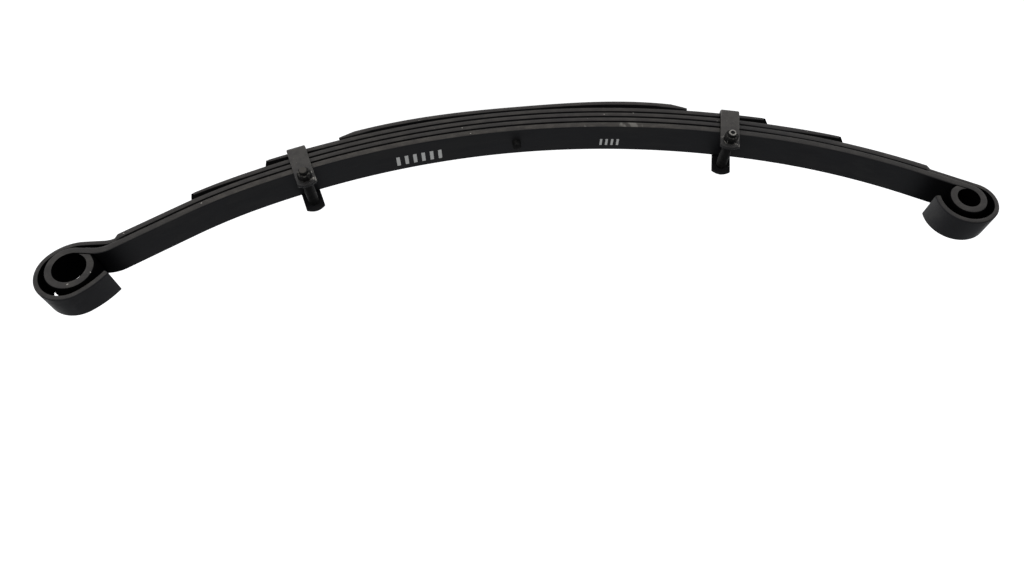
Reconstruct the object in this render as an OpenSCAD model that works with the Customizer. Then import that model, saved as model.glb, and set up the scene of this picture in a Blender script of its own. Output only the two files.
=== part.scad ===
// Multi-leaf spring for a light truck: a main leaf with two rolled eyes, a military
// wrapper closed around both, three shorter leaves, tip pads, a centre bolt and two
// riveted rebound clips with their bolts and spacer tubes.
// X runs along the spring with the front eye at +X, Y across it, Z up the centre pin.

/* [Leaves] */
// Width of every leaf
leaf_w = 63.5; // [60:0.5:70]
// Thickness of the main leaf
main_t = 13.5; // [12:0.5:14]
// Thickness of the wrapper, third and fourth leaves
leaf_t = 11.5; // [10:0.5:12]
// Thickness of the fifth leaf
fifth_t = 10; // [8:0.5:11]
// Thickness of the fifth leaf at its bevelled tips
fifth_tip_t = 4; // [3:0.5:6]
// Thickness of the wrapper where it is drawn down around the eyes
wrap_t = 9; // [7:0.5:9.5]
// Width of the wrapper where it is trimmed around the eyes
wrap_w = 55.5; // [50:0.5:60]
// Gap between neighbouring leaves
leaf_gap = 0.2; // [0.15:0.05:0.3]

/* [Arch] */
// Radius of the concave face over the middle of the front half
front_r = 1450; // [1440:2:1460]
// Radius of the concave face near the front eye
front_end_r = 870; // [860:2:880]
// Radius of the concave face over the middle of the rear half
rear_r = 1535; // [1500:5:1570]
// Radius of the concave face near the rear eye
rear_end_r = 1130; // [1100:5:1160]

/* [Eyes] */
// Bore of the front eye
front_bore_d = 55; // [53:0.5:55]
// Bore of the rear eye
rear_bore_d = 38; // [36:0.5:38]
// Gap between a rolled tip and the face it comes back to
tip_gap = 0.8; // [0.6:0.1:1.2]

/* [Leaf lengths] */
// Third leaf, centre bolt to front tip
third_front = 569; // [555:1:575]
// Third leaf, centre bolt to rear tip
third_rear = 579; // [565:1:590]
// Fourth leaf, centre bolt to front tip
fourth_front = 437; // [430:1:450]
// Fourth leaf, centre bolt to rear tip
fourth_rear = 447; // [437:1:460]
// Fifth leaf, centre bolt to either tip
fifth_len = 311; // [300:1:320]
// Length over which the third and fourth leaves thin out
taper_len = 95; // [85:1:105]
// How much they are thinned, on the concave side
taper_depth = 5.5; // [4:0.5:6]
// Length of the bevel at the tips of the fifth leaf
bevel_len = 28; // [20:1:35]
// Largest gap above the front half of the fifth leaf
front_bow = 2.5; // [1:0.5:4]
// Largest gap above the rear half of the fifth leaf
rear_bow = 5; // [2:0.5:6]

/* [Tip pads] */
// Width of each pad
pad_w = 60; // [50:1:63]
// How far a pad reaches past the leaf tip
pad_lip = 6.5; // [4:0.5:8]

/* [Centre bolt] */
// Diameter of the locating head
pin_d = 16; // [15:0.5:18]
// Height of the locating head
pin_h = 12; // [8:0.5:14]
// Diameter of the shank
centre_d = 10; // [9:0.5:11]
// Nut size across flats
centre_nut_af = 17; // [16:0.5:19]
// Nut height
centre_nut_h = 8; // [6:0.5:10]

/* [Clips] */
// Distance of each clip from the centre bolt, along the concave face
clip_pos = 386; // [378:1:394]
// Width of the strap
clip_w = 34; // [30:0.5:36]
// Thickness of the strap
clip_t = 6; // [5:0.5:7]
// Outside radius of the bends
clip_bend_r = 9; // [7:0.5:9]
// Clearance from each leg to the leaf edges
clip_play = 0.8; // [0.5:0.1:1.2]
// Height of the legs above the concave face
clip_leg_h = 39; // [36:0.5:42]
// Radius of the rounded leg ends
clip_end_r = 28; // [24:0.5:30]
// Height of the bolt axis above the concave face
clip_axis_h = 20; // [18:0.5:22]
// Diameter of the bolts
clip_bolt_d = 14; // [12:0.5:14]
// Size of bolt heads and nuts across flats
clip_nut_af = 22; // [20:0.5:24]
// Height of the nuts
clip_nut_h = 12; // [10:0.5:13]
// Height of the bolt heads
clip_head_h = 9; // [7:0.5:10]
// Outside diameter of the spacer tubes
tube_d = 19; // [18:0.5:22]
// Diameter of the rivets
rivet_d = 10; // [8:0.5:12]
// Diameter of the rivet heads
rivet_head_d = 18; // [15:0.5:20]
// Height of the rivet heads
rivet_head_h = 5; // [4:0.5:7]

/* [Hidden] */
$fn = 96;

PITCH = 12;         // longest step along a leaf
TURN = 5;           // largest turn in one step, degrees
CONTACT_GAP = 0.1;  // between a head, nut or tube and the face it bears on
CLIP_GAP = 0.3;     // between the clip base and the leaf it is riveted to
BORE_STOCK = 0.5;   // left inside a rolled eye for the bore to cut away
BORE_LEAD = 2;      // where that stock begins, ahead of the eye
HOLE_PLAY = 0.25;   // radial play of a bolt in a leaf or clip
THREAD_PLAY = 0.05; // radial play of a nut, a tube or a rivet
PAD_PLAY = 0.15;    // between a pad and the leaf above it
PAD_EDGE = 0.9;     // thickness at which a pad starts
PAD_END = 2.5;      // pad lip left at the outer face of the leaf
STEP_LEN = 8;       // length over which the wrapper is drawn down and trimmed
CENTRE_STAND = 3;   // centre bolt end standing past its nut
NUT_STAND = 6;      // clip bolt ends standing past their nuts
BEND_R = 1;         // inside bend of a clip, tight so the leaf edges clear it
EDGE = 0.8;         // chamfer on bolt ends and heads
REACH = 1000;       // past the ends of the spring

STEEL_PAINT = [0.16, 0.155, 0.15];
CLIP_PAINT = [0.19, 0.185, 0.18];
PAD_BLACK = [0.05, 0.05, 0.05];
FASTENER_PAINT = [0.24, 0.235, 0.23];

front_bore_r = front_bore_d / 2;
rear_bore_r = rear_bore_d / 2;
depth_2 = main_t + leaf_gap;
depth_3 = depth_2 + leaf_t + leaf_gap;
depth_4 = depth_3 + leaf_t + leaf_gap;
depth_5 = depth_4 + leaf_t + leaf_gap;
stack_t = depth_5 + fifth_t;
clip_floor = depth_4 + leaf_t + CLIP_GAP;
clip_in = leaf_w / 2 + clip_play;
clip_out = clip_in + clip_t;
clip_bolt_r = clip_bolt_d / 2;
rivet_r = rivet_d / 2;

// Concave face from the centre bolt to the start of an eye as [length, radius] pieces;
// radius 0 is straight and a negative radius turns away from the concave side.
FRONT_RUN = [[480, front_r], [119, front_end_r], [122.4, 0], [36.5, -60], [25, 0]];
REAR_RUN = [[480, rear_r], [250, rear_end_r], [78, 0]];
// Where the inner face of the wrapper leaves the main leaf, and how it goes on
FRONT_PART = 700;
REAR_PART = 800;
FRONT_WRAP = [[4, 0], [5, 0], [23, -45], [33, 0], [58, 66], [120, 42.5], [54, 140]];
REAR_WRAP = [[20, 0], [38, 32], [29, 34], [106, 46]];
// Where the wrapper starts to be drawn down and trimmed
FRONT_STEP = 704;
REAR_STEP = 730;

// A pose is [x, z, heading, distance from the centre bolt]
START = [0, -CONTACT_GAP, 0, 0];

function advance(p, l, r) =
  r == 0
    ? [p[0] + l * cos(p[2]), p[1] + l * sin(p[2]), p[2], p[3] + l]
    : let (a = l / r * 180 / PI)
      [p[0] + r * (sin(p[2] + a) - sin(p[2])),
       p[1] + r * (cos(p[2]) - cos(p[2] + a)),
       p[2] + a,
       p[3] + l];

function step_count(l, r) = ceil(max(l / PITCH, r == 0 ? 1 : abs(l / r) * 180 / PI / TURN));

// Poses after p along a run
function walk(p, run, i = 0) =
  i == len(run)
    ? []
    : let (l = run[i][0], r = run[i][1], n = step_count(l, r))
      concat([for (k = [1 : n]) advance(p, l * k / n, r)], walk(advance(p, l, r), run, i + 1));

function pose_after(p, run, i = 0) =
  i == len(run) ? p : pose_after(advance(p, run[i][0], run[i][1]), run, i + 1);

// The part of a run between two distances
function cut(run, a, b, at = 0, i = 0) =
  i == len(run)
    ? []
    : let (lo = max(a, at), hi = min(b, at + run[i][0]))
      concat(hi > lo ? [[hi - lo, run[i][1]]] : [], cut(run, a, b, at + run[i][0], i + 1));

function run_length(run, i = 0) = i == len(run) ? 0 : run[i][0] + run_length(run, i + 1);
function seat(run, s) = pose_after(START, cut(run, 0, s));
function stretch(run, a, b) = walk(seat(run, a), cut(run, a, b));

function below(p, d) = [p[0] + d * sin(p[2]), p[1] - d * cos(p[2])];
function sink(p, d) = [below(p, d)[0], below(p, d)[1], p[2], p[3]];
function ramp(s, a, b) = min(1, max(0, (s - a) / (b - a)));
function reversed(points) = [for (i = [len(points) - 1 : -1 : 0]) points[i]];
function flipped(points) = [for (p = points) [-p[0], p[1]]];

// Points at a depth under a path; the depth grows by more between distances a and b
function rail(path, depth, more = 0, a = 0, b = 1) =
  [for (p = path) below(p, depth + more * ramp(p[3], a, b))];

// Half-leaf outlines are joined at the centre bolt
module leaf(front_in, front_out, rear_in, rear_out) {
  rotate([90, 0, 0])
    linear_extrude(leaf_w, center = true)
      polygon(concat(reversed(flipped(rear_in)), front_in, reversed(front_out), flipped(rear_out)));
}

module centre_hole() {
  translate([0, 0, -stack_t - 1])
    cylinder(d = centre_d + 2 * HOLE_PLAY, h = stack_t + 2);
}

// Rear parts are built like front parts, then turned to the other side
module rearward() {
  mirror([1, 0, 0])
    children();
}

module across(r, w) {
  rotate([90, 0, 0])
    cylinder(r = r, h = w, center = true);
}

// Children stand on the concave face, Z square to it
module on_leaf(run, s) {
  p = seat(run, s);
  translate([p[0], 0, p[1]])
    rotate([0, -p[2], 0])
      children();
}

// Main leaf
function eye_pose(run) = seat(run, run_length(run));

module eye_bore(run, r) {
  centre = below(eye_pose(run), -r);
  translate([centre[0], 0, centre[1]])
    across(r, leaf_w + 2);
}

// A rolled eye at a depth under its bore, cut off flat where it comes back to the leaf
function roll(run, r, depth) =
  let (open = acos((r - tip_gap) / (r + depth)))
  rail(walk(eye_pose(run), [[r * (360 - open) * PI / 180, r]]), depth);

function main_in(run, r) =
  concat(rail(stretch(run, 0, run_length(run) - BORE_LEAD), 0), roll(run, r, -BORE_STOCK));

function main_out(run, r) =
  concat(rail(stretch(run, 0, run_length(run)), main_t), roll(run, r, main_t));

module main_leaf() {
  color(STEEL_PAINT)
    difference() {
      leaf(main_in(FRONT_RUN, front_bore_r), main_out(FRONT_RUN, front_bore_r),
           main_in(REAR_RUN, rear_bore_r), main_out(REAR_RUN, rear_bore_r));
      eye_bore(FRONT_RUN, front_bore_r);
      rearward()
        eye_bore(REAR_RUN, rear_bore_r);
      centre_hole();
    }
}

// Wrapper leaf
function wrap_path(run, part, step, wrap) =
  let (a = min(step, part),
       b = min(step + STEP_LEN, part),
       on_main = concat(stretch(run, 0, a), stretch(run, a, b), stretch(run, b, part)),
       near = [for (p = on_main) sink(p, depth_2)])
  concat(near, walk(near[len(near) - 1], wrap));

function wrap_out(path, step) = rail(path, leaf_t, wrap_t - leaf_t, step, step + STEP_LEN);

// Seen from above, full width in the middle and trimmed beyond a shoulder at each end
function shoulder(run, s) = below(seat(run, s), depth_2)[0];

module wrapper_plan() {
  side = [[REACH, wrap_w / 2],
          [shoulder(FRONT_RUN, FRONT_STEP + STEP_LEN), wrap_w / 2],
          [shoulder(FRONT_RUN, FRONT_STEP), leaf_w / 2],
          [-shoulder(REAR_RUN, REAR_STEP), leaf_w / 2],
          [-shoulder(REAR_RUN, REAR_STEP + STEP_LEN), wrap_w / 2],
          [-REACH, wrap_w / 2]];
  translate([0, 0, -REACH / 2])
    linear_extrude(REACH)
      polygon(concat(side, reversed([for (p = side) [p[0], -p[1]]])));
}

module wrapper_leaf() {
  front = wrap_path(FRONT_RUN, FRONT_PART, FRONT_STEP, FRONT_WRAP);
  rear = wrap_path(REAR_RUN, REAR_PART, REAR_STEP, REAR_WRAP);
  color(STEEL_PAINT)
    difference() {
      intersection() {
        leaf(rail(front, 0), wrap_out(front, FRONT_STEP), rail(rear, 0), wrap_out(rear, REAR_STEP));
        wrapper_plan();
      }
      centre_hole();
    }
}

// Third and fourth leaves, thinned towards their tips
function graded_path(run, l) =
  concat(stretch(run, 0, l - taper_len), stretch(run, l - taper_len, l));

function graded_in(run, l, depth) =
  rail(graded_path(run, l), depth, taper_depth, l - taper_len, l);

module graded_leaf(depth, front_l, rear_l) {
  difference() {
    leaf(graded_in(FRONT_RUN, front_l, depth), rail(graded_path(FRONT_RUN, front_l), depth + leaf_t),
         graded_in(REAR_RUN, rear_l, depth), rail(graded_path(REAR_RUN, rear_l), depth + leaf_t));
    centre_hole();
  }
}

module third_leaf() {
  color(STEEL_PAINT)
    graded_leaf(depth_3, third_front, third_rear);
}

module rivet_hole(run) {
  on_leaf(run, clip_pos)
    translate([0, 0, -stack_t])
      cylinder(r = rivet_r + THREAD_PLAY, h = stack_t);
}

module fourth_leaf() {
  color(STEEL_PAINT)
    difference() {
      graded_leaf(depth_4, fourth_front, fourth_rear);
      rivet_hole(FRONT_RUN);
      rearward()
        rivet_hole(REAR_RUN);
    }
}

// Fifth leaf: held at the bolt, touching at its tips and bowed away in between
function bow(s, most) = most * 6.75 * pow(s / fifth_len, 2) * (1 - s / fifth_len);

function fifth_path(run) =
  concat(stretch(run, 0, fifth_len - bevel_len), stretch(run, fifth_len - bevel_len, fifth_len));

function fifth_in(run, most) =
  [for (p = fifth_path(run)) below(p, depth_5 + bow(p[3], most))];

function fifth_out(run, most) =
  [for (p = fifth_path(run))
     let (lost = (fifth_t - fifth_tip_t) * ramp(p[3], fifth_len - bevel_len, fifth_len))
     below(p, depth_5 + bow(p[3], most) + fifth_t - lost)];

module fifth_leaf() {
  color(STEEL_PAINT)
    difference() {
      leaf(fifth_in(FRONT_RUN, front_bow), fifth_out(FRONT_RUN, front_bow),
           fifth_in(REAR_RUN, rear_bow), fifth_out(REAR_RUN, rear_bow));
      centre_hole();
    }
}

// Tip pads fill the wedge over a thinned tip and turn down over its end
module tip_pad(run, l, depth) {
  thin = l - taper_len;
  from = thin + taper_len * (PAD_EDGE + PAD_PLAY) / taper_depth;
  lip = stretch(run, l, l + pad_lip);
  top = concat([seat(run, from)], stretch(run, from, l), lip);
  under = concat([seat(run, from)], stretch(run, from, l + PAD_PLAY));
  foot = [seat(run, l + PAD_PLAY), seat(run, l + PAD_END)];
  color(PAD_BLACK)
    rotate([90, 0, 0])
      linear_extrude(pad_w, center = true)
        polygon(concat(rail(top, depth), reversed(rail(foot, depth + leaf_t)),
                       reversed(rail(under, depth - PAD_PLAY, taper_depth, thin, l))));
}

module third_front_pad() {
  tip_pad(FRONT_RUN, third_front, depth_3);
}

module third_rear_pad() {
  rearward()
    tip_pad(REAR_RUN, third_rear, depth_3);
}

module fourth_front_pad() {
  tip_pad(FRONT_RUN, fourth_front, depth_4);
}

module fourth_rear_pad() {
  rearward()
    tip_pad(REAR_RUN, fourth_rear, depth_4);
}

// Centre bolt and nut
module centre_bolt() {
  nut_under = START[1] - stack_t - CONTACT_GAP - centre_nut_h;
  shank_end = nut_under - CENTRE_STAND;
  color(FASTENER_PAINT) {
    cylinder(d = pin_d, h = pin_h - EDGE);
    translate([0, 0, pin_h - EDGE])
      cylinder(d1 = pin_d, d2 = pin_d - 2 * EDGE, h = EDGE);
    translate([0, 0, shank_end])
      cylinder(d = centre_d, h = 1 - shank_end);
  }
}

module hex_nut(af, h, bore_d) {
  difference() {
    cylinder(d = af / cos(30), h = h, $fn = 6);
    translate([0, 0, -1])
      cylinder(d = bore_d + 2 * THREAD_PLAY, h = h + 2);
  }
}

module centre_nut() {
  color(FASTENER_PAINT)
    translate([0, 0, START[1] - stack_t - CONTACT_GAP - centre_nut_h])
      hex_nut(centre_nut_af, centre_nut_h, centre_d);
}

// Clip strap, bent to a U around the stack
module rounded_tray(half, low, r, high) {
  translate([-half, low + r])
    square([2 * half, high - low - r]);
  translate([r - half, low])
    square([2 * (half - r), r]);
  for (side = [-1, 1])
    translate([side * (half - r), low + r])
      circle(r);
}

module strap() {
  rotate([90, 0, 90])
    linear_extrude(clip_w, center = true)
      difference() {
        rounded_tray(clip_out, -clip_floor - clip_t, clip_bend_r, clip_leg_h + 1);
        rounded_tray(clip_in, -clip_floor, BEND_R, clip_leg_h + 2);
      }
}

module leg_shape() {
  low = clip_floor + clip_t + 1;
  width = clip_w + 2;
  translate([0, 0, clip_leg_h - clip_end_r])
    across(clip_end_r, 2 * clip_out + 2);
  translate([-width / 2, -clip_out - 1, -low])
    cube([width, 2 * clip_out + 2, low + clip_leg_h - clip_end_r]);
}

module clip(run) {
  color(CLIP_PAINT)
    on_leaf(run, clip_pos)
      difference() {
        intersection() {
          strap();
          leg_shape();
        }
        translate([0, 0, clip_axis_h])
          across(clip_bolt_r + HOLE_PLAY, 2 * clip_out + 2);
        translate([0, 0, -clip_floor - clip_t - 1])
          cylinder(r = rivet_r + THREAD_PLAY, h = clip_t + 2);
      }
}

module front_clip() {
  clip(FRONT_RUN);
}

module rear_clip() {
  rearward()
    clip(REAR_RUN);
}

// Rivets, domed under the clip and flush inside the fourth leaf
module clip_rivet(run, l) {
  thinned = taper_depth * ramp(clip_pos, l - taper_len, l);
  under = -clip_floor - clip_t - CONTACT_GAP;
  dome_r = (pow(rivet_head_d / 2, 2) + pow(rivet_head_h, 2)) / (2 * rivet_head_h);
  color(CLIP_PAINT)
    on_leaf(run, clip_pos) {
      translate([0, 0, under - 1])
        cylinder(r = rivet_r, h = 1 - under - depth_4 - thinned - 0.5);
      intersection() {
        translate([0, 0, under - rivet_head_h + dome_r])
          sphere(r = dome_r);
        translate([0, 0, under - rivet_head_h - 1])
          cylinder(r = rivet_head_d, h = rivet_head_h + 1);
      }
    }
}

module front_clip_rivet() {
  clip_rivet(FRONT_RUN, fourth_front);
}

module rear_clip_rivet() {
  rearward()
    clip_rivet(REAR_RUN, fourth_rear);
}

// Clip bolts run across the spring, head on the +Y side and nut on the -Y side
module on_axis(run) {
  on_leaf(run, clip_pos)
    translate([0, 0, clip_axis_h])
      rotate([90, 0, 0])
        rotate([0, 0, 30])
          children();
}

module clip_bolt(run) {
  nut_side = clip_out + CONTACT_GAP + clip_nut_h + NUT_STAND;
  color(FASTENER_PAINT)
    on_axis(run) {
      translate([0, 0, -clip_out - CONTACT_GAP - clip_head_h])
        cylinder(d = clip_nut_af / cos(30), h = clip_head_h, $fn = 6);
      translate([0, 0, -clip_out - CONTACT_GAP - 1])
        cylinder(r = clip_bolt_r, h = clip_out + CONTACT_GAP + 1 + nut_side);
      translate([0, 0, nut_side])
        cylinder(r1 = clip_bolt_r, r2 = clip_bolt_r - EDGE, h = EDGE);
    }
}

module front_clip_bolt() {
  clip_bolt(FRONT_RUN);
}

module rear_clip_bolt() {
  rearward()
    clip_bolt(REAR_RUN);
}

module clip_nut(run) {
  color(FASTENER_PAINT)
    on_axis(run)
      translate([0, 0, clip_out + CONTACT_GAP])
        hex_nut(clip_nut_af, clip_nut_h, clip_bolt_d);
}

module front_clip_nut() {
  clip_nut(FRONT_RUN);
}

module rear_clip_nut() {
  rearward()
    clip_nut(REAR_RUN);
}

module spacer_tube(run) {
  half = clip_in - 2 * CONTACT_GAP;
  color(FASTENER_PAINT)
    on_axis(run)
      difference() {
        cylinder(d = tube_d, h = 2 * half, center = true);
        cylinder(r = clip_bolt_r + THREAD_PLAY, h = 2 * half + 2, center = true);
      }
}

module front_spacer_tube() {
  spacer_tube(FRONT_RUN);
}

module rear_spacer_tube() {
  rearward()
    spacer_tube(REAR_RUN);
}

main_leaf();
wrapper_leaf();
third_leaf();
fourth_leaf();
fifth_leaf();
third_front_pad();
third_rear_pad();
fourth_front_pad();
fourth_rear_pad();
centre_bolt();
centre_nut();
front_clip();
front_clip_rivet();
front_clip_bolt();
front_clip_nut();
front_spacer_tube();
rear_clip();
rear_clip_rivet();
rear_clip_bolt();
rear_clip_nut();
rear_spacer_tube();
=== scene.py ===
"""Looks for the leaf spring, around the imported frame.

Row frame in metres: X along the spring with the front eye at +X, Y across it, Z up the
centre pin. Shapes are worked out in millimetres and scaled once, in mesh_object().
"""
import math

import bmesh
import bpy
from mathutils import Matrix, Vector


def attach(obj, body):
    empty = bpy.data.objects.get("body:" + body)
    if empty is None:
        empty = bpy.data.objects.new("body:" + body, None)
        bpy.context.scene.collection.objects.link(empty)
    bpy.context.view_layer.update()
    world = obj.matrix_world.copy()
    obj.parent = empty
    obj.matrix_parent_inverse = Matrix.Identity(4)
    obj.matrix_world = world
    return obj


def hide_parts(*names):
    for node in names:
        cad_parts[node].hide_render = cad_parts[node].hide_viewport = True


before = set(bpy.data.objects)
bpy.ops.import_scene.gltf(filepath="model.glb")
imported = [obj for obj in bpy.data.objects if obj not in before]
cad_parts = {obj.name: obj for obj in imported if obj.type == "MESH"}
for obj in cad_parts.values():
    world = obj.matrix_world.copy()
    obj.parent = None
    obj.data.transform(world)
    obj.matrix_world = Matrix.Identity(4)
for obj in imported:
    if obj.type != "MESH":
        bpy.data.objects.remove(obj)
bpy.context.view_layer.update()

MM = 0.001

LEAF_W = 63.5
MAIN_T = 13.5
LEAF_T = 11.5
FIFTH_T = 10.0
FIFTH_TIP_T = 4.0
WRAP_T = 8.95
WRAP_W = 55.5
LEAF_GAP = 0.2
DEPTH_2 = MAIN_T + LEAF_GAP
DEPTH_3 = DEPTH_2 + LEAF_T + LEAF_GAP
DEPTH_4 = DEPTH_3 + LEAF_T + LEAF_GAP
DEPTH_5 = DEPTH_4 + LEAF_T + LEAF_GAP
STACK_T = DEPTH_5 + FIFTH_T

# Concave face from the centre bolt out to an eye, as (length, radius); radius 0 is straight
FRONT_RUN = ((480, 1450), (119, 870), (122.4, 0), (36.5, -60), (25, 0))
REAR_RUN = ((480, 1535), (250, 1130), (78, 0))
FRONT_BORE = 27.5
REAR_BORE = 19.0
TIP_GAP = 0.8
# Inner face of the wrapper past the place where it leaves the main leaf
FRONT_WRAP = ((4, 0), (5, 0), (23, -45), (33, 0), (58, 66), (120, 42.5), (54, 140))
REAR_WRAP = ((20, 0), (38, 32), (29, 34), (106, 46))
FRONT_PART, REAR_PART = 700, 800
FRONT_STEP, REAR_STEP, STEP_LEN = 704, 730, 8

TAPER_LEN, TAPER_DEPTH = 95.0, 5.5
THIRD = (569.0, 579.0)
FOURTH = (437.0, 447.0)
FIFTH = 311.0
BEVEL_LEN = 28.0
BOW = (2.5, 5.0)

CLIP_POS = 386.0
CLIP_W, CLIP_T = 34.0, 6.0
CLIP_IN = LEAF_W / 2 + 0.8
CLIP_OUT = CLIP_IN + CLIP_T
CLIP_FLOOR = DEPTH_4 + LEAF_T + 0.3
CLIP_AXIS = 20.0
LEG_H, LEG_END_R = 39.0, 28.0
BOLT_R, NUT_AF, NUT_H, HEAD_H = 7.0, 22.0, 12.0, 9.0
HOLE_PLAY, THREAD_PLAY = 0.25, 0.05
PLAY = 0.1              # between a face and what is tightened or set down on it
TUBE_R, TUBE_END_PLAY = 9.5, 0.2
RIVET_R, RIVET_HEAD_R, RIVET_HEAD_H = 5.0, 9.0, 5.0
CENTRE_R, PIN_R, PIN_H = 5.0, 8.0, 12.0
CENTRE_NUT_AF, CENTRE_NUT_H = 17.0, 8.0
CENTRE_NUT_LOW = -PLAY - STACK_T - PLAY - CENTRE_NUT_H
PAD_HALF_W, PAD_PLAY = 30.0, 0.15
CLIP_BEND_R, CLIP_RIM = 3.0, 1.3
HEX_POINTS = 72
FLOOR_LEVEL, FLOOR_HALF = -76.0, 60000.0

# Viewpoint in metres, and the directions it looks along and holds upright
VIEW_FROM = (0.1199, -1.115, 0.9437)
VIEW_ALONG, VIEW_UP = (-0.05997, 0.86735, -0.49408), (-0.09435, -0.49768, -0.86221)
LENS, SENSOR = 27.45, 36.0


# ---------------------------------------------------------------- paths
def advance(p, l, r):
    """A pose is (x, z, heading, distance)."""
    x, z, h, s = p
    if r == 0:
        return (x + l * math.cos(h), z + l * math.sin(h), h, s + l)
    a = l / r
    return (x + r * (math.sin(h + a) - math.sin(h)), z + r * (math.cos(h) - math.cos(h + a)), h + a, s + l)


def walk(p, run, pitch=7.0, turn=3.5):
    """Poses after p along a run."""
    out = []
    for l, r in run:
        n = math.ceil(max(l / pitch, 1 if r == 0 else math.degrees(abs(l / r)) / turn))
        out += [advance(p, l * k / n, r) for k in range(1, n + 1)]
        p = advance(p, l, r)
    return out


def cut(run, a, b):
    """The part of a run between two distances."""
    out, at = [], 0.0
    for l, r in run:
        lo, hi = max(a, at), min(b, at + l)
        if hi > lo:
            out.append((hi - lo, r))
        at += l
    return out


def length(run):
    return sum(l for l, r in run)


def seat(run, s):
    p = (0.0, -PLAY, 0.0, 0.0)
    for l, r in cut(run, 0, s):
        p = advance(p, l, r)
    return p


def stretch(run, a, b, **fine):
    return walk(seat(run, a), cut(run, a, b), **fine)


def below(p, d):
    return (p[0] + d * math.sin(p[2]), p[1] - d * math.cos(p[2]))


def sink(p, d):
    return (*below(p, d), p[2], p[3])


def ramp(s, a, b):
    return min(1.0, max(0.0, (s - a) / (b - a)))


def soft(t):
    return t * t * (3 - 2 * t)


def mix(a, b, t):
    return tuple(u + (v - u) * t for u, v in zip(a, b))


# ---------------------------------------------------------------- meshes
def mesh_object(name, bm, place=None, sharp=38):
    """Finishes a bmesh drawn in millimetres as an object in metres."""
    if place is not None:
        bmesh.ops.transform(bm, matrix=place, verts=bm.verts)
    bmesh.ops.scale(bm, vec=(MM, MM, MM), verts=bm.verts)
    bmesh.ops.recalc_face_normals(bm, faces=bm.faces)
    mesh = bpy.data.meshes.new(name)
    bm.to_mesh(mesh)
    bm.free()
    obj = bpy.data.objects.new(name, mesh)
    bpy.context.scene.collection.objects.link(obj)
    shade(obj, sharp)
    return obj


def shade(obj, sharp=38):
    """Smooth faces, with edges sharper than an angle left crisp."""
    bm = bmesh.new()
    bm.from_mesh(obj.data)
    for f in bm.faces:
        f.smooth = True
    for e in bm.edges:
        e.smooth = not (len(e.link_faces) == 2 and e.calc_face_angle(0) > math.radians(sharp))
    bm.to_mesh(obj.data)
    bm.free()


def skin(bm, rings):
    """Quads between rings of points that all have the same count, with both ends closed."""
    loops = [[bm.verts.new(p) for p in ring] for ring in rings]
    n = len(loops[0])
    for a, b in zip(loops, loops[1:]):
        for i in range(n):
            bm.faces.new((a[i], a[(i + 1) % n], b[(i + 1) % n], b[i]))
    bm.faces.new(loops[0])
    bm.faces.new(loops[-1])


def section(w, t, inner_e, outer_e, crown, arcs=5):
    """A rolled bar's section as (across, depth) pairs: rounded corners and slightly crowned sides."""
    inner_e, outer_e = min(inner_e, 0.45 * t, 0.45 * w), min(outer_e, 0.45 * t, 0.45 * w)
    strip = min(1.2, 0.2 * w)
    half, pts = w / 2 - crown, []
    for sy, sv, a0 in ((1, 1, 0), (-1, 1, 90), (-1, -1, 180), (1, -1, 270)):
        e = outer_e if sv == 1 else inner_e
        cy, cv = sy * (half - e), t / 2 + sv * (t / 2 - e)
        corner = [(cy + e * math.cos(math.radians(a0 + 90 * k / arcs)),
                   cv + e * math.sin(math.radians(a0 + 90 * k / arcs))) for k in range(arcs + 1)]
        flat_first = a0 in (90, 270)
        edge = corner[0] if flat_first else corner[-1]
        support = (edge[0] - sy * strip, edge[1])
        pts += [support] + corner if flat_first else corner + [support]
        if a0 in (90, 270):
            lo, hi = (t - outer_e, inner_e) if a0 == 90 else (inner_e, t - outer_e)
            pts += [(sy * (half + crown * (1 - (2 * k - 1) ** 2)), lo + (hi - lo) * k)
                    for k in (0.25, 0.5, 0.75)]
    return pts


def ring_at(station, edge, crown, inset=0.0):
    """One station of a swept bar, as 3-D points with the bar's width along Y."""
    inner, outer, w, rim = station
    t = math.dist(inner, outer)
    ux, uz = (outer[0] - inner[0]) / t, (outer[1] - inner[1]) / t
    out = []
    for y, v in section(w, t, rim, edge * t, crown):
        if inset:
            y *= (w - 2 * inset) / w
            v = t / 2 + (v - t / 2) * (t - 2 * inset) / t
        out.append((inner[0] + ux * v, y, inner[1] + uz * v))
    return out


def between(a, b, d):
    """The station d millimetres before b, between stations a and b."""
    k = 1 - d / max(math.dist(a[0], b[0]), math.dist(a[1], b[1]), d + 0.1)
    return (mix(a[0], b[0], k), mix(a[1], b[1], k), a[2] + (b[2] - a[2]) * k, b[3])


def sweep(name, stations, edge=0.33, crown=0.3, chamfer=0.8, place=None):
    """A bar swept through (inner point, outer point, width, inner corner radius) stations."""
    first = between(stations[1], stations[0], chamfer)
    last = between(stations[-2], stations[-1], chamfer)
    rings = [ring_at(station, edge, crown) for station in [first] + stations[1:-1] + [last]]
    ends = [ring_at(station, edge, crown, chamfer) for station in (stations[0], stations[-1])]
    bm = bmesh.new()
    skin(bm, [ends[0]] + rings + [ends[1]])
    return mesh_object(name, bm, place)


def circle(r, h, count):
    return [(r * math.cos(math.tau * k / count), r * math.sin(math.tau * k / count), h) for k in range(count)]


def lathe(bm, outline, count):
    """Turns (radius, height) pairs about Z. A radius of 0 closes the end."""
    rings = [[bm.verts.new(p) for p in (circle(r, h, count) if r else [(0, 0, h)])] for r, h in outline]
    for a, b in zip(rings, rings[1:]):
        join_rings(bm, a, b)
    return rings


def join_rings(bm, a, b):
    """Quads between two rings, or triangles where one of them is a single point."""
    n = max(len(a), len(b))
    for i in range(n):
        j = (i + 1) % n
        if len(a) == 1 and len(b) > 1:
            bm.faces.new((a[0], b[j], b[i]))
        elif len(b) == 1 and len(a) > 1:
            bm.faces.new((a[i], a[j], b[0]))
        elif len(a) > 1:
            bm.faces.new((a[i], a[j], b[j], b[i]))


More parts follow.
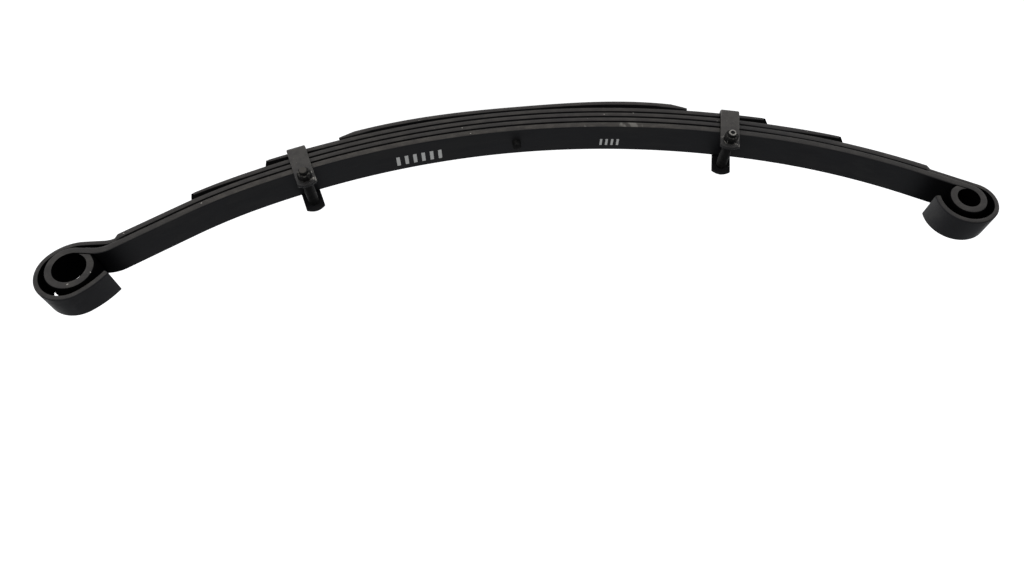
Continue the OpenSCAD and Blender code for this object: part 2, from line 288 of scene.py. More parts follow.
def drill(obj, r, height, place):
    """Cuts a round hole, given in millimetres, out of an object."""
    bm = bmesh.new()
    bmesh.ops.create_cone(bm, cap_ends=True, segments=48, radius1=r, radius2=r, depth=height)
    cutter = mesh_object("cutter", bm, place)
    cut_mod = obj.modifiers.new("drill", "BOOLEAN")
    cut_mod.operation, cut_mod.solver, cut_mod.object = "DIFFERENCE", "EXACT", cutter
    bpy.context.view_layer.update()
    drilled = bpy.data.meshes.new_from_object(obj.evaluated_get(bpy.context.evaluated_depsgraph_get()))
    obj.modifiers.clear()
    obj.data = drilled
    bpy.data.objects.remove(cutter)
    shade(obj)


# ---------------------------------------------------------------- leaves
def bars(path, inner, outer, width=lambda s: LEAF_W):
    """Stations of a leaf from a path, with its two depths and its width as functions of distance."""
    return [(below(p, inner(p[3])), below(p, outer(p[3])), width(p[3]), 0.18 * (outer(p[3]) - inner(p[3])))
            for p in path]


def both_halves(front, rear):
    """Stations from the rear tip to the front tip."""
    flipped = [((-a[0], a[1]), (-b[0], b[1]), w, rim) for a, b, w, rim in rear]
    return flipped[::-1] + front


def centre_drill(obj):
    drill(obj, CENTRE_R + 0.2, STACK_T + 20, Matrix.Translation((0, 0, -STACK_T / 2)))


def rolled_eye(run, r):
    """Stations round an eye; the rolled tip is sheared flat where it comes back to the leaf."""
    start = seat(run, length(run))
    open_in = math.acos((r - TIP_GAP) / r)
    open_out = math.acos((r - TIP_GAP) / (r + MAIN_T))
    total = math.tau - open_in
    n = 84
    out = []
    for k in range(1, n + 1):
        a = total * k / n
        lag = (open_out - open_in) * soft(ramp(a, total - math.radians(75), total))
        inner = advance(start, r * a, r)
        outer = advance(start, r * (a - lag), r)
        out.append((inner[:2], below(outer, MAIN_T), LEAF_W, 2.43 - 2.03 * ramp(r * a, 0, 15)))
    return out


def main_leaf():
    halves = [bars(stretch(run, 0, length(run)), lambda s: 0.0, lambda s: MAIN_T) + rolled_eye(run, r)
              for run, r in ((FRONT_RUN, FRONT_BORE), (REAR_RUN, REAR_BORE))]
    obj = sweep("main_leaf_bar", both_halves(*halves), crown=0.1)
    centre_drill(obj)
    return obj


def wrap_half(run, part, step, wrap):
    thin = step + STEP_LEN
    a, b = min(step, part), min(thin, part)
    on_main = stretch(run, 0, a) + stretch(run, a, b, pitch=1.7) + stretch(run, b, part)
    path = [sink(p, DEPTH_2) for p in on_main]
    path += walk(path[-1], wrap)
    drawn = lambda s: ramp(s, step, thin)
    return bars(path, lambda s: 0.0, lambda s: LEAF_T + (WRAP_T - LEAF_T) * drawn(s),
                lambda s: LEAF_W + (WRAP_W - LEAF_W) * drawn(s))


def wrapper_leaf():
    obj = sweep("wrapper_leaf_bar", both_halves(wrap_half(FRONT_RUN, FRONT_PART, FRONT_STEP, FRONT_WRAP),
                                                wrap_half(REAR_RUN, REAR_PART, REAR_STEP, REAR_WRAP)))
    centre_drill(obj)
    return obj


def graded_half(run, l, depth):
    thin = l - TAPER_LEN
    path = stretch(run, 0, thin) + stretch(run, thin, l)
    return bars(path, lambda s: depth + TAPER_DEPTH * ramp(s, thin, l), lambda s: depth + LEAF_T)


def graded_leaf(name, depth, lengths):
    halves = [graded_half(run, l, depth) for run, l in zip((FRONT_RUN, REAR_RUN), lengths)]
    obj = sweep(name, both_halves(*halves))
    centre_drill(obj)
    return obj


def fourth_leaf():
    obj = graded_leaf("fourth_leaf_bar", DEPTH_4, FOURTH)
    for run, flip in ((FRONT_RUN, False), (REAR_RUN, True)):
        drill(obj, RIVET_R + THREAD_PLAY, 60, on_leaf(run, flip) @ Matrix.Translation((0, 0, -44)))
    return obj


def bow(s, most):
    return most * 6.75 * (s / FIFTH) ** 2 * (1 - s / FIFTH)


def fifth_half(run, most):
    bevel = FIFTH - BEVEL_LEN
    path = stretch(run, 0, bevel) + stretch(run, bevel, FIFTH)
    inner = lambda s: DEPTH_5 + bow(s, most)
    return bars(path, inner, lambda s: inner(s) + FIFTH_T - (FIFTH_T - FIFTH_TIP_T) * ramp(s, bevel, FIFTH))


def fifth_leaf():
    obj = sweep("fifth_leaf_bar", both_halves(fifth_half(FRONT_RUN, BOW[0]), fifth_half(REAR_RUN, BOW[1])))
    centre_drill(obj)
    return obj


# ---------------------------------------------------------------- tip pads
def tip_pad(name, run, l, depth, flip):
    """A wedge over a thinned tip, with a lip turned down over the leaf's end."""
    thin = l - TAPER_LEN
    start = thin + TAPER_LEN * 1.05 / TAPER_DEPTH
    path = stretch(run, start, l + PAD_PLAY)
    under = [below(p, depth - PAD_PLAY + TAPER_DEPTH * ramp(p[3], thin, l)) for p in path]
    top = [below(p, depth) for p in path + stretch(run, l + PAD_PLAY, l + 6.5)]
    foot = [below(seat(run, l + d), depth + LEAF_T) for d in (PAD_PLAY, 2.5)]
    outline = top + foot[::-1] + under[::-1]
    bm = bmesh.new()
    sides = [[bm.verts.new((x, y, z)) for x, z in outline] for y in (-PAD_HALF_W, PAD_HALF_W)]
    n = len(outline)
    for i in range(n):
        j = (i + 1) % n
        bm.faces.new((sides[0][i], sides[0][j], sides[1][j], sides[1][i]))
    bm.faces.new(sides[0])
    bm.faces.new(sides[1])
    bmesh.ops.recalc_face_normals(bm, faces=bm.faces)
    crease = [e for e in bm.edges if e.calc_face_angle(0) > math.radians(30)]
    bmesh.ops.bevel(bm, geom=crease, offset=0.35, segments=2, profile=0.5, affect="EDGES")
    return mesh_object(name, bm, Matrix.Scale(-1, 4, (1, 0, 0)) if flip else None)


# ---------------------------------------------------------------- clips and fasteners
def on_leaf(run, flip):
    """Stands things on the concave face at a clip, Z square to the leaf."""
    p = seat(run, CLIP_POS)
    place = Matrix.Translation((p[0], 0, p[1])) @ Matrix.Rotation(-p[2], 4, "Y")
    return Matrix.Scale(-1, 4, (1, 0, 0)) @ place if flip else place


def on_axis(run, flip):
    """Stands things along the clip bolt, Z towards the nut on the -Y side."""
    return (on_leaf(run, flip) @ Matrix.Translation((0, 0, CLIP_AXIS))
            @ Matrix.Rotation(math.pi / 2, 4, "X") @ Matrix.Rotation(math.pi / 6, 4, "Z"))


def leg_width(z):
    low = LEG_H - LEG_END_R
    if z <= low:
        return CLIP_W
    return min(CLIP_W, 2 * math.sqrt(max(LEG_END_R ** 2 - (z - low) ** 2, 1.2)))


def clip_half():
    """Stations from the middle of the clip's base to the end of one leg."""
    out = [((y, -CLIP_FLOOR), (y, -CLIP_FLOOR - CLIP_T), CLIP_W, CLIP_RIM) for y in (0, 9, 18, 26)]
    cy, cz = CLIP_IN - CLIP_BEND_R, -CLIP_FLOOR + CLIP_BEND_R
    for k in range(9):
        a = math.radians(-90 + 90 * k / 8)
        inner, outer = [(cy + r * math.cos(a), cz + r * math.sin(a))
                        for r in (CLIP_BEND_R, CLIP_BEND_R + CLIP_T)]
        out.append((inner, outer, CLIP_W, CLIP_RIM))
    low = LEG_H - LEG_END_R
    corner = math.degrees(math.acos(CLIP_W / 2 / LEG_END_R))
    heights = [-34, -20, -6, 8, 20, low + LEG_END_R * math.sin(math.radians(corner))]
    turns = [math.radians(corner + (88 - corner) * k / 14) for k in range(1, 15)]
    heights += [low + LEG_END_R * math.sin(turn) for turn in turns]
    return out + [((CLIP_IN, z), (CLIP_OUT, z), leg_width(z), CLIP_RIM) for z in heights]


def clip(name, run, flip):
    half = clip_half()
    other = [((-a[0], a[1]), (-b[0], b[1]), w, rim) for a, b, w, rim in half[1:]]
    turn = Matrix.Rotation(math.pi / 2, 4, "Z")
    obj = sweep(name, other[::-1] + half, edge=0.38, crown=0.1, chamfer=0.5, place=on_leaf(run, flip) @ turn)
    drill(obj, BOLT_R + HOLE_PLAY, 2 * CLIP_OUT + 20, on_axis(run, flip))
    base = Matrix.Translation((0, 0, -CLIP_FLOOR - CLIP_T / 2))
    drill(obj, RIVET_R + THREAD_PLAY, 20, on_leaf(run, flip) @ base)
    return obj


def hex_rings(af, levels):
    """Rings of a hexagon whose corners are turned down to a cone at each (height, radius limit)."""
    out = []
    for h, limit in levels:
        ring = []
        for k in range(HEX_POINTS):
            a = math.tau * k / HEX_POINTS
            flat = af / 2 / math.cos((a + math.pi / 6) % (math.pi / 3) - math.pi / 6)
            ring.append((min(flat, limit) * math.cos(a), min(flat, limit) * math.sin(a), h))
        out.append(ring)
    return out


def hex_levels(af, h, both=True):
    """Heights and radius limits of the chamfers at the ends of a hexagon."""
    face, drop = 0.485 * af, 1.0 / math.tan(math.radians(30))
    steps = (0.0, 0.25, 0.5, 0.75, 1.0, 1.35)
    top = [(h - d, face + d * drop) for d in steps][::-1]
    low = [(d, face + d * drop) for d in steps] if both else [(0.0, af)]
    return low + top


def hex_nut(name, af, h, bore, place):
    bm = bmesh.new()
    rings = hex_rings(af, hex_levels(af, h))
    lead = 0.7
    hole = [circle(r, z, HEX_POINTS)
            for r, z in ((bore + lead, h), (bore, h - lead), (bore, lead), (bore + lead, 0))]
    loops = [[bm.verts.new(p) for p in ring] for ring in rings + hole]
    for a, b in zip(loops, loops[1:] + loops[:1]):
        join_rings(bm, a, b)
    return mesh_object(name, bm, place, sharp=22)


def threads(r, start, end, pitch):
    """Outline of a threaded length, from one height to another."""
    out, n = [], int((end - start) / pitch)
    for k in range(n):
        z = start + k * pitch
        out += [(r - 0.8, z), (r - 0.8, z + 0.15 * pitch), (r, z + 0.45 * pitch), (r, z + 0.6 * pitch)]
    return out


def clip_bolt(name, run, flip):
    """Head on the +Y side, threaded end on the -Y side."""
    bm = bmesh.new()
    under = -CLIP_OUT - PLAY
    head = hex_rings(NUT_AF, hex_levels(NUT_AF, HEAD_H, both=False))
    loops = [[bm.verts.new((x, -y, under - z)) for x, y, z in ring] for ring in head]
    for a, b in zip(loops, loops[1:]):
        join_rings(bm, a, b)
    bm.faces.new(loops[-1])
    tip = CLIP_OUT + PLAY + NUT_H + 6.8
    outline = ([(BOLT_R, under), (BOLT_R, 20)] + threads(BOLT_R, 22, tip - 1.0, 2.0)
               + [(BOLT_R - 1.0, tip), (0, tip)])
    shank = lathe(bm, outline, HEX_POINTS)
    join_rings(bm, loops[0], shank[0])
    return mesh_object(name, bm, on_axis(run, flip), sharp=30)


def turned(name, outline, place, count=48):
    """A part turned on a lathe from a closed (radius, height) outline."""
    bm = bmesh.new()
    lathe(bm, outline, count)
    return mesh_object(name, bm, place, sharp=32)


def spacer_tube(name, run, flip):
    half, rim = CLIP_IN - TUBE_END_PLAY, 0.4
    bore, out = BOLT_R + THREAD_PLAY, TUBE_R
    outline = [(bore + rim, -half), (out - rim, -half), (out, -half + rim), (out, half - rim),
               (out - rim, half), (bore + rim, half), (bore, half - rim), (bore, -half + rim),
               (bore + rim, -half)]
    obj = turned(name, outline, on_axis(run, flip), 64)
    weld(obj)
    return obj


def weld(obj):
    """Joins the first ring of a closed outline to its last."""
    bm = bmesh.new()
    bm.from_mesh(obj.data)
    bmesh.ops.remove_doubles(bm, verts=bm.verts, dist=1e-6)
    bmesh.ops.recalc_face_normals(bm, faces=bm.faces)
    bm.to_mesh(obj.data)
    bm.free()
    shade(obj, 32)


def centre_bolt():
    """The locating pin is the bolt's head."""
    r, low = CENTRE_R, CENTRE_NUT_LOW - 3
    outline = ([(0, low), (r - 0.8, low), (r, low + 0.8)] + threads(r, low + 1, low + 13, 1.5)
               + [(r, low + 15), (r, 0.0), (PIN_R, 0.0), (PIN_R, PIN_H - 1.0), (PIN_R - 0.3, PIN_H - 0.4),
                  (PIN_R - 0.9, PIN_H - 0.05), (0, PIN_H)])
    return turned("centre_bolt_turned", outline, None)


def clip_rivet(name, run, l, flip):
    """Domed under the clip, flush inside the fourth leaf."""
    under = -CLIP_FLOOR - CLIP_T - PLAY
    top = -DEPTH_4 - TAPER_DEPTH * ramp(CLIP_POS, l - TAPER_LEN, l) - 0.5
    dome_r = (RIVET_HEAD_R ** 2 + RIVET_HEAD_H ** 2) / (2 * RIVET_HEAD_H)
    angles = [math.asin(RIVET_HEAD_R / dome_r) * k / 10 for k in range(11)]
    dome = [(dome_r * math.sin(a), under - RIVET_HEAD_H + dome_r * (1 - math.cos(a))) for a in angles]
    outline = dome + [(RIVET_R, under), (RIVET_R, top - 0.3), (RIVET_R - 0.3, top), (0, top)]
    return turned(name, outline, on_leaf(run, flip))


# ---------------------------------------------------------------- materials
class Nodes:
    """Small helper to wire a material."""

    def __init__(self, name):
        self.mat = bpy.data.materials.new(name)
        self.mat.use_nodes = True
        self.tree = self.mat.node_tree
        self.bsdf = self.tree.nodes["Principled BSDF"]
        source = self.tree.nodes.new("ShaderNodeTexCoord")
        self.coords, self.normal = source.outputs["Object"], source.outputs["Normal"]

    def add(self, kind, **settings):
        node = self.tree.nodes.new(kind)
        for key, value in settings.items():
            setattr(node, key, value)
        return node

    def link(self, a, b):
        self.tree.links.new(a, b)

    def put(self, socket, value):
        if hasattr(value, "links"):
            self.link(value, socket)
        else:
            socket.default_value = value

    def math(self, op, a, b=0.0):
        node = self.add("ShaderNodeMath", operation=op)
        self.put(node.inputs[0], a)
        self.put(node.inputs[1], b)
        return node.outputs[0]

    def scaled(self, scale):
        node = self.add("ShaderNodeMapping")
        self.link(self.coords, node.inputs["Vector"])
        node.inputs["Scale"].default_value = scale
        return node.outputs[0]

    def noise(self, scale, detail=3.0, rough=0.55, stretch=(1, 1, 1)):
        node = self.add("ShaderNodeTexNoise")
        self.link(self.scaled(stretch), node.inputs["Vector"])
        node.inputs["Scale"].default_value = scale
        node.inputs["Detail"].default_value = detail
        node.inputs["Roughness"].default_value = rough
        return node.outputs["Fac"]

    def span(self, value, lo, hi, to_lo=0.0, to_hi=1.0):
        node = self.add("ShaderNodeMapRange", interpolation_type="SMOOTHSTEP")
        for socket, v in zip(node.inputs, (value, lo, hi, to_lo, to_hi)):
            self.put(socket, v)
        return node.outputs[0]

    def blend(self, fac, a, b):
        node = self.add("ShaderNodeMix", data_type="RGBA")
        self.put(node.inputs[0], fac)
        self.put(node.inputs[6], (*a, 1) if isinstance(a, tuple) else a)
        self.put(node.inputs[7], (*b, 1) if isinstance(b, tuple) else b)
        return node.outputs[2]

    def axis(self, index, source=None):
        node = self.add("ShaderNodeSeparateXYZ")
        self.link(source or self.coords, node.inputs[0])
        return node.outputs[index]

    def corners(self, lo, hi):
        """Rises from 0 on flat faces to 1 on sharp outside corners."""
        return self.span(self.add("ShaderNodeNewGeometry").outputs["Pointiness"], lo, hi)

    def bump(self, height, strength, distance, normal=None):
        node = self.add("ShaderNodeBump")
        node.inputs["Strength"].default_value = strength
        node.inputs["Distance"].default_value = distance
        self.link(height, node.inputs["Height"])
        if normal is not None:
            self.link(normal, node.inputs["Normal"])
        return node.outputs[0]


PAINT = (0.0076, 0.0074, 0.0088)
PAINT_WORN = (0.0140, 0.0136, 0.0140)
DUST = (0.031, 0.027, 0.0235)
DUST_PALE = (0.054, 0.048, 0.041)
BARE = (0.42, 0.40, 0.37)
# Painted shade: near-black colour put where light hardly reaches
SHADE_BLACK = (0.0012, 0.0012, 0.0014)
MARK = (0.62, 0.62, 0.60)
SCUFF = (0.021, 0.0205, 0.0215)
PATCH = (0.11, 0.104, 0.094)
LEG_DUST = (0.040, 0.037, 0.034)
# Bare steel on worn chips, and painted highlights on the nearer clip leg's corners
CLIP_BARE_AND_GLINT = (0.24, 0.23, 0.21)
STEEL, STEEL_WORN = (0.0050, 0.0049, 0.0050), (0.0110, 0.0104, 0.0098)
STEEL_BARE = (0.22, 0.21, 0.19)
BOLT_END, BOLT_RING = (0.05, 0.046, 0.041), (0.26, 0.25, 0.23)
# Near-black pad plastic, darkened beyond its own colour as painted shade for the pads' recessed sides
PAD, PAD_WORN = (0.0005, 0.0005, 0.0006), (0.0012, 0.0012, 0.0012)
PAINT_SPECULAR, STEEL_SPECULAR, PAD_SPECULAR = 0.22, 0.08, 0.02

# Rows of plain bars on the concave face, in metres: middle along X and Y, count, pitch, height
MARK_ROWS = ((0.180, 0.0071, 6, 0.0153, 0.023), (-0.1729, 0.0102, 4, 0.0102, 0.0165))
MARK_FILL = 0.42


def edge_mask(n):
    """1 on the flat sides of the bars and 0 on their broad faces and round their corners."""
    return n.span(n.math("ABSOLUTE", n.axis(1, n.normal)), 0.7, 0.9)


def groove_shade(n, both, end):
    """Painted shade: high on the corners that meet the next leaf, on the convex side or on both, as far out
    as end.
    """
    down = n.math("SUBTRACT", 0.0, n.axis(2, n.normal))
    down = n.math("ABSOLUTE", down) if both else down
    across = n.math("ABSOLUTE", n.axis(1, n.normal))
    corner = n.math("MULTIPLY", n.span(down, 0.2, 0.4), n.span(across, 0.1, 0.3))
    along = n.math("MULTIPLY", n.span(n.axis(0), end - 0.02, end, 0.7 if both else 0.5, 0.0),
                   n.span(n.axis(0), max(-end, -0.52), max(0.02 - end, -0.38)))
    return n.math("MULTIPLY", corner, along)


def eye_centre(run, bore, side):
    c = below(seat(run, length(run)), -bore)
    return (side * c[0] * MM, c[1] * MM)


def axis_offsets(n, centre):
    """Offsets in X and Z from a line that runs across the spring, and the distance from it."""
    x, z = n.math("SUBTRACT", n.axis(0), centre[0]), n.math("SUBTRACT", n.axis(2), centre[1])
    return x, z, n.math("SQRT", n.math("ADD", n.math("MULTIPLY", x, x), n.math("MULTIPLY", z, z)))


def eye_shadow(n, centre, reach, both_ways):
    """1 on faces that look at an eye's axis, or straight away from it too, within reach of it."""
    x, z, r = axis_offsets(n, centre)
    dot = n.math("ADD", n.math("MULTIPLY", n.axis(0, n.normal), x),
                 n.math("MULTIPLY", n.axis(2, n.normal), z))
    facing = n.math("DIVIDE", dot, r)
    facing = n.math("ABSOLUTE", facing) if both_ways else n.math("SUBTRACT", 0.0, facing)
    return n.math("MULTIPLY", n.span(facing, 0.35, 0.6), n.math("LESS_THAN", r, reach))


def eye_shade_falloff(n, centre):
    """Painted shade: broad faces darken towards an eye."""
    broad = n.span(n.math("ABSOLUTE", n.axis(1, n.normal)), 0.5, 0.3)
    return n.math("MULTIPLY", broad, n.span(axis_offsets(n, centre)[2], 0.12, 0.05, 0.0, 0.75))


def stripe(n, x, y, count, pitch, height):
    """A row of plain painted bars across the concave face, centred on x, y."""
    along = n.math("SUBTRACT", n.axis(0), x - (count - 1 + MARK_FILL) * pitch / 2)
    ragged = n.math("MULTIPLY", n.math("SUBTRACT", n.noise(900, 2), 0.5), 0.0016)
    along = n.math("ADD", along, ragged)
    cell = n.math("FRACT", n.math("DIVIDE", along, pitch))
    bar = n.math("LESS_THAN", cell, MARK_FILL)
    inside = n.math("MULTIPLY", n.math("GREATER_THAN", along, 0.0), n.math("LESS_THAN", along, count * pitch))
    off = n.math("ABSOLUTE", n.math("SUBTRACT", n.axis(1), y))
    tall = n.math("LESS_THAN", n.math("ADD", off, ragged), height / 2)
    return n.math("MULTIPLY", n.math("MULTIPLY", bar, inside), tall)


def dusty_sides(n, colour, amount):
    """Grey-brown dust on the sides of the bars."""
    dust = n.blend(n.span(n.noise(90, 4, stretch=(0.5, 1, 1)), 0.42, 0.72), DUST, DUST_PALE)
    cover = n.math("MULTIPLY", edge_mask(n), n.span(n.noise(45, 4, stretch=(0.4, 1, 1)), 0.2, 0.55, 0.6, 1.0))
    return n.blend(n.math("MULTIPLY", cover, amount), colour, dust)


def dusty_leg(n, colour):
    """Dust on the outside of a clip's legs, thickest at the bend."""
    outside = n.span(n.math("ABSOLUTE", n.axis(1)), 0.0335, 0.0362)
    cover = n.math("MULTIPLY", outside, n.span(n.noise(120, 4), 0.25, 0.6, 0.6, 1.0))
    cover = n.math("MULTIPLY", cover, n.span(n.axis(2), 0.095, 0.03, 0.25, 1.0))
    return n.blend(cover, colour, LEG_DUST)


def leaf_chips(n):
    return n.math("MULTIPLY", edge_mask(n), n.math("GREATER_THAN", n.noise(120, 3, 0.6, (0.55, 1, 1)), 0.735))


def clip_chips_and_glints(n):
    """Bare worn spots and painted highlights along the corners of the nearer leg."""
    near = n.span(n.axis(1), -0.030, -0.034)
    worn = n.math("MULTIPLY", n.corners(0.52, 0.55), n.math("GREATER_THAN", n.noise(70, 3, 0.6), 0.5))
    speck = n.math("GREATER_THAN", n.noise(520, 2, 0.5), 0.72)
    return n.math("MULTIPLY", near, n.math("MAXIMUM", worn, speck))


def finish(n, colour, chip, dark):
    """Satin paint with bare chips, over the grain and scale of rolled steel; dull where shade is painted."""
    cloud, fine = n.noise(14, 4), n.noise(700, 3)
    n.link(colour, n.bsdf.inputs["Base Color"])
    rough = n.span(n.math("ADD", cloud, n.math("MULTIPLY", fine, 0.3)), 0.35, 0.95, 0.42, 0.62)
    n.link(n.math("MAXIMUM", rough, dark), n.bsdf.inputs["Roughness"])
    n.link(n.span(dark, 0.0, 1.0, PAINT_SPECULAR, 0.0), n.bsdf.inputs["Specular IOR Level"])
    n.link(n.math("MULTIPLY", chip, 0.6), n.bsdf.inputs["Metallic"])
    scale = n.bump(n.noise(160, 5, 0.6), 0.3, 0.0005, n.bump(fine, 0.25, 0.0002))
    n.link(scale, n.bsdf.inputs["Normal"])
    return n.mat


def base_paint(n):
    cloud, streak = n.noise(14, 4), n.noise(60, 4, stretch=(0.12, 1, 1))
    worn = n.span(n.math("ADD", n.math("MULTIPLY", cloud, 0.6), n.math("MULTIPLY", streak, 0.5)), 0.5, 0.75)
    colour = n.blend(worn, PAINT, PAINT_WORN)
    scuff = n.math("MULTIPLY", n.span(n.axis(0), 0.70, 0.80), n.span(n.noise(70, 4, 0.6), 0.42, 0.68))
    return n.blend(scuff, colour, SCUFF)


EYES = ((FRONT_RUN, FRONT_BORE, 1), (REAR_RUN, REAR_BORE, -1))


def painted_shade(n, reach, both_ways, groove_end):
    """Painted shade where light hardly reaches: between leaves, in the bores and between each eye and its
    wrap.
    """
    dark = groove_shade(n, not both_ways, groove_end)
    for (run, bore, side), far in zip(EYES, reach):
        centre = eye_centre(run, bore, side)
        dark = n.math("MAXIMUM", dark, eye_shadow(n, centre, far, both_ways))
        if both_ways:
            dark = n.math("MAXIMUM", dark, eye_shade_falloff(n, centre))
    return dark


def dust_amount(n, middle, ends):
    """Thinner towards the rear, and changing to another amount at the eyes."""
    rear = n.span(n.axis(0), -0.2, -0.45, middle, 0.5 * middle)
    return n.span(n.math("ABSOLUTE", n.axis(0)), 0.50, 0.64, rear, ends)


def marks(n, colour):
    for row in MARK_ROWS:
        colour = n.blend(stripe(n, *row), colour, MARK)
    return colour


def pale_patches(n, colour):
    """Places on the near side, behind the centre, where the dust has been rubbed pale."""
    along = n.math("MULTIPLY", n.span(n.axis(0), -0.30, -0.27), n.span(n.axis(0), -0.08, -0.12))
    blot = n.math("MULTIPLY", along, n.span(n.noise(55, 2, 0.5, (1, 0.4, 0.4)), 0.59, 0.66))
    side = n.math("MULTIPLY", edge_mask(n), n.math("LESS_THAN", n.axis(1), 0.0))
    return n.blend(n.math("MULTIPLY", blot, side), colour, PATCH)


def leaf_paint(name, middle, ends, reach=(), both_ways=False, groove_end=0.69):
    """Dark satin paint: dust on the sides, scuffs, a few chips, and painted shade where light hardly reaches.
    """
    n = Nodes(name)
    chip = leaf_chips(n)
    dark = painted_shade(n, reach, both_ways, groove_end)
    colour = n.blend(chip, dusty_sides(n, base_paint(n), dust_amount(n, middle, ends)), BARE)
    if both_ways:
        colour = marks(n, pale_patches(n, colour))
    # Painted shade: the near-black shade colour laid over the paint in the grooves, bores, ring gaps and near
    # the eyes
    colour = n.blend(dark, colour, SHADE_BLACK)
    return finish(n, colour, chip, dark)


def clip_paint():
    n = Nodes("clip_paint")
    chip = clip_chips_and_glints(n)
    # Painted shade: the clip darkens towards the shade colour across its far half, up to the inside of the
    # far leg
    far = n.math("MULTIPLY", n.span(n.axis(1), 0.0, 0.03, 0.0, 0.45), n.math("LESS_THAN", n.axis(1), 0.0355))
    colour = n.blend(far, dusty_leg(n, base_paint(n)), SHADE_BLACK)
    return finish(n, n.blend(chip, colour, CLIP_BARE_AND_GLINT), chip, far)


def pad_black():
    n = Nodes("pad_black")
    mottled = n.span(n.noise(240, 3), 0.35, 0.7)
    # Painted shade: the pads' black is taken nearly to zero so their recessed sides read as shaded
    n.link(n.blend(mottled, PAD, PAD_WORN), n.bsdf.inputs["Base Color"])
    n.link(n.span(n.noise(90, 2), 0.3, 0.7, 0.75, 0.9), n.bsdf.inputs["Roughness"])
    n.bsdf.inputs["Specular IOR Level"].default_value = PAD_SPECULAR
    n.link(n.bump(n.noise(1200, 2), 0.3, 0.0002), n.bsdf.inputs["Normal"])
    return n.mat


def bolt_ends(n, colour):
    """Pale ends on the clip bolts; the rear one is rubbed to a bright ring, with painted shade in its middle.
    """
    end = n.span(n.axis(1), -0.0560, -0.0566)
    colour = n.blend(end, colour, BOLT_END)
    p = seat(REAR_RUN, CLIP_POS)
    axis = below(p, -CLIP_AXIS)
    r = axis_offsets(n, (-axis[0] * MM, axis[1] * MM))[2]
    ring = n.math("MULTIPLY", n.span(r, 0.0034, 0.0050), n.math("LESS_THAN", r, 0.008))
    ring = n.math("MULTIPLY", ring, n.span(n.noise(330, 3), 0.38, 0.55, 0.25, 1.0))
    # Painted shade: a near-black disc in the middle of the rear bolt's end, where a hollow would be shaded
    hollow_shade = n.math("MULTIPLY", end, n.math("LESS_THAN", r, 0.0038))
    return n.blend(n.math("MULTIPLY", end, ring), n.blend(hollow_shade, colour, SHADE_BLACK), BOLT_RING)


def fastener_paint(name, worn=True):
    """Dark paint on bolts and nuts, with small worn places on the corners."""
    n = Nodes(name)
    colour = n.blend(n.span(n.noise(180, 3), 0.4, 0.7), STEEL, STEEL_WORN)
    if worn:
        rub = n.math("MULTIPLY", n.corners(0.53, 0.6), n.span(n.noise(240, 4, 0.65), 0.48, 0.58))
        colour = bolt_ends(n, n.blend(rub, colour, STEEL_BARE))
    n.link(colour, n.bsdf.inputs["Base Color"])
    n.link(n.span(n.noise(500, 3), 0.3, 0.7, 0.55, 0.75), n.bsdf.inputs["Roughness"])
    n.bsdf.inputs["Specular IOR Level"].default_value = STEEL_SPECULAR
    n.link(n.bump(n.noise(900, 3), 0.3, 0.0002), n.bsdf.inputs["Normal"])
    return n.mat


# ---------------------------------------------------------------- building
def piece(obj, node, material, body="spring"):
    obj.data.materials.clear()
    obj.data.materials.append(material)
    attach(obj, body)
    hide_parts(node)


def build_leaves():
    marked = leaf_paint("main_leaf_paint", 0.85, 0.45, (0.0422, 0.0337), both_ways=True)
    wrapped = leaf_paint("wrapper_paint", 0.55, 0.45, (0.085, 0.070))
    plain = leaf_paint("leaf_paint", 0.58, 0.5)
    shortest = leaf_paint("fifth_leaf_paint", 0.58, 0.5, groove_end=0.28)
    piece(main_leaf(), "main_leaf", marked)
    piece(wrapper_leaf(), "wrapper_leaf", wrapped)
    piece(graded_leaf("third_leaf_bar", DEPTH_3, THIRD), "third_leaf", plain)
    piece(fourth_leaf(), "fourth_leaf", plain)
    piece(fifth_leaf(), "fifth_leaf", shortest)


def build_pads():
    black = pad_black()
    for leaf, depth, (front, rear) in (("third", DEPTH_3, THIRD), ("fourth", DEPTH_4, FOURTH)):
        for end, run, l, flip in (("front", FRONT_RUN, front, False), ("rear", REAR_RUN, rear, True)):
            node = f"{leaf}_{end}_pad"
            piece(tip_pad(node + "_moulded", run, l, depth, flip), node, black)


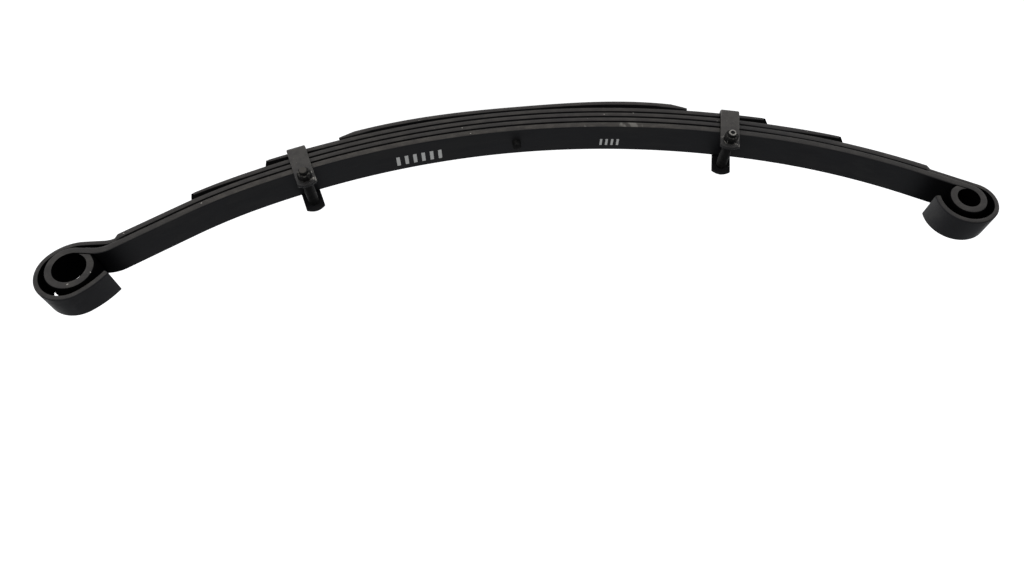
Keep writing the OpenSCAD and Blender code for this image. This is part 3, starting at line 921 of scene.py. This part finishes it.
def build_fasteners():
    strap = clip_paint()
    steel = fastener_paint("fastener_paint")
    dark = fastener_paint("tube_paint", worn=False)
    piece(centre_bolt(), "centre_bolt", dark)
    under = Matrix.Translation((0, 0, CENTRE_NUT_LOW))
    piece(hex_nut("centre_nut_hex", CENTRE_NUT_AF, CENTRE_NUT_H, CENTRE_R + THREAD_PLAY, under),
          "centre_nut", steel)
    for end, run, l, flip in (("front", FRONT_RUN, FOURTH[0], False), ("rear", REAR_RUN, FOURTH[1], True)):
        nut_place = on_axis(run, flip) @ Matrix.Translation((0, 0, CLIP_OUT + PLAY))
        piece(clip(f"{end}_clip_strap", run, flip), f"{end}_clip", strap)
        piece(clip_rivet(f"{end}_clip_rivet_turned", run, l, flip), f"{end}_clip_rivet", strap)
        piece(clip_bolt(f"{end}_clip_bolt_turned", run, flip), f"{end}_clip_bolt", steel)
        piece(hex_nut(f"{end}_clip_nut_hex", NUT_AF, NUT_H, BOLT_R + THREAD_PLAY, nut_place),
              f"{end}_clip_nut", steel)
        piece(spacer_tube(f"{end}_spacer_tube_turned", run, flip), f"{end}_spacer_tube", dark,
              f"{end}_spacer")


def floor():
    bm = bmesh.new()
    bmesh.ops.create_grid(bm, x_segments=1, y_segments=1, size=FLOOR_HALF)
    obj = mesh_object("floor", bm, Matrix.Translation((0, 0, FLOOR_LEVEL)))
    n = Nodes("floor_white")
    n.bsdf.inputs["Base Color"].default_value = (0.8, 0.8, 0.8, 1)
    n.bsdf.inputs["Roughness"].default_value = 0.9
    n.bsdf.inputs["Emission Color"].default_value = (1, 1, 1, 1)
    n.bsdf.inputs["Emission Strength"].default_value = 0.9
    obj.data.materials.append(n.mat)


def softbox(name, at, aim, size, watts):
    data = bpy.data.lights.new(name, "AREA")
    data.shape, data.size, data.size_y, data.energy = "RECTANGLE", size[0], size[1], watts
    obj = bpy.data.objects.new(name, data)
    bpy.context.scene.collection.objects.link(obj)
    obj.location = at
    obj.rotation_euler = (Vector(aim) - Vector(at)).to_track_quat("-Z", "Y").to_euler()


def studio():
    world = bpy.data.worlds.new("studio")
    world.use_nodes = True
    world.node_tree.nodes["Background"].inputs[0].default_value = (0.95, 0.97, 1.0, 1)
    world.node_tree.nodes["Background"].inputs[1].default_value = 0.34
    bpy.context.scene.world = world
    softbox("front_box", (0.3, -2.6, 0.7), (0, 0, 0.1), (3.4, 1.4), 30)
    softbox("back_box", (0.3, 2.8, 0.18), (0, 0, 0.1), (3.4, 0.45), 4)
    bpy.context.scene.view_settings.view_transform = "Standard"


def camera():
    """Above and in front of the spring, and turned over, so that its concave side faces down."""
    data = bpy.data.cameras.new("camera")
    data.sensor_width, data.lens = SENSOR, LENS
    obj = bpy.data.objects.new("camera", data)
    bpy.context.scene.collection.objects.link(obj)
    forward = Vector(VIEW_ALONG).normalized()
    right = forward.cross(Vector(VIEW_UP)).normalized()
    up = right.cross(forward)
    turn = Matrix((right, up, -forward)).transposed().to_4x4()
    obj.matrix_world = Matrix.Translation(VIEW_FROM) @ turn
    bpy.context.scene.camera = obj


camera()
build_leaves()
build_pads()
build_fasteners()
floor()
studio()
